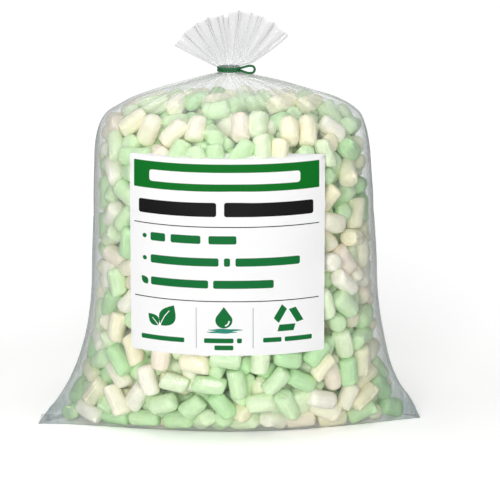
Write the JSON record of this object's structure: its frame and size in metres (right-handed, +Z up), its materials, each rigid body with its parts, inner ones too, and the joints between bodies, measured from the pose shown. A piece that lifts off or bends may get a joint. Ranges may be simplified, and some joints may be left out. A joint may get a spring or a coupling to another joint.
{
  "type": "bag of packing peanuts",
  "caption": "Clear film bag full of loose-fill packing peanuts, sealed flat at the base, gathered and tied at the neck under a spread fan of film, with a label on the front.",
  "frame": {"origin": "middle of the bag's flat base, on the surface it stands on", "axes": "+Z up through the tied neck, -Y out of the labelled front, +X to the right seen from the front"},
  "size_m": [0.558, 0.3025, 0.599],
  "materials": {
    "film": "clear blown polyethylene film, glossy and creased",
    "label": "white label stock with satin printed colour fields",
    "tie": "dark green plastic-covered cord",
    "green_foam": "pale green extruded starch foam",
    "cream_foam": "cream extruded starch foam",
    "mixed_foam": "mixed green and cream extruded starch foam"
  },
  "bodies": {
    "root": {"bag_film": "film", "front_label": "label", "neck_tie": "tie", "peanut_fill": "mixed_foam", "peanut_01": "green_foam", "peanut_02": "green_foam", "peanut_03": "green_foam", "peanut_04": "green_foam", "peanut_05": "green_foam", "peanut_06": "cream_foam", "peanut_07": "cream_foam", "peanut_08": "cream_foam", "peanut_09": "cream_foam", "peanut_10": "green_foam", "peanut_11": "green_foam", "peanut_12": "green_foam", "peanut_13": "green_foam", "peanut_14": "green_foam", "peanut_15": "cream_foam", "peanut_16": "cream_foam", "peanut_17": "cream_foam", "peanut_18": "cream_foam", "peanut_19": "green_foam", "peanut_20": "green_foam", "peanut_21": "green_foam", "peanut_22": "green_foam", "peanut_23": "green_foam", "peanut_24": "cream_foam", "peanut_25": "cream_foam", "peanut_26": "cream_foam", "peanut_27": "cream_foam", "peanut_28": "green_foam", "peanut_29": "green_foam", "peanut_30": "green_foam", "peanut_31": "green_foam", "peanut_32": "green_foam", "peanut_33": "cream_foam", "peanut_34": "cream_foam", "peanut_35": "cream_foam", "peanut_36": "cream_foam", "peanut_37": "green_foam", "peanut_38": "green_foam"}
  },
  "joints": []
}
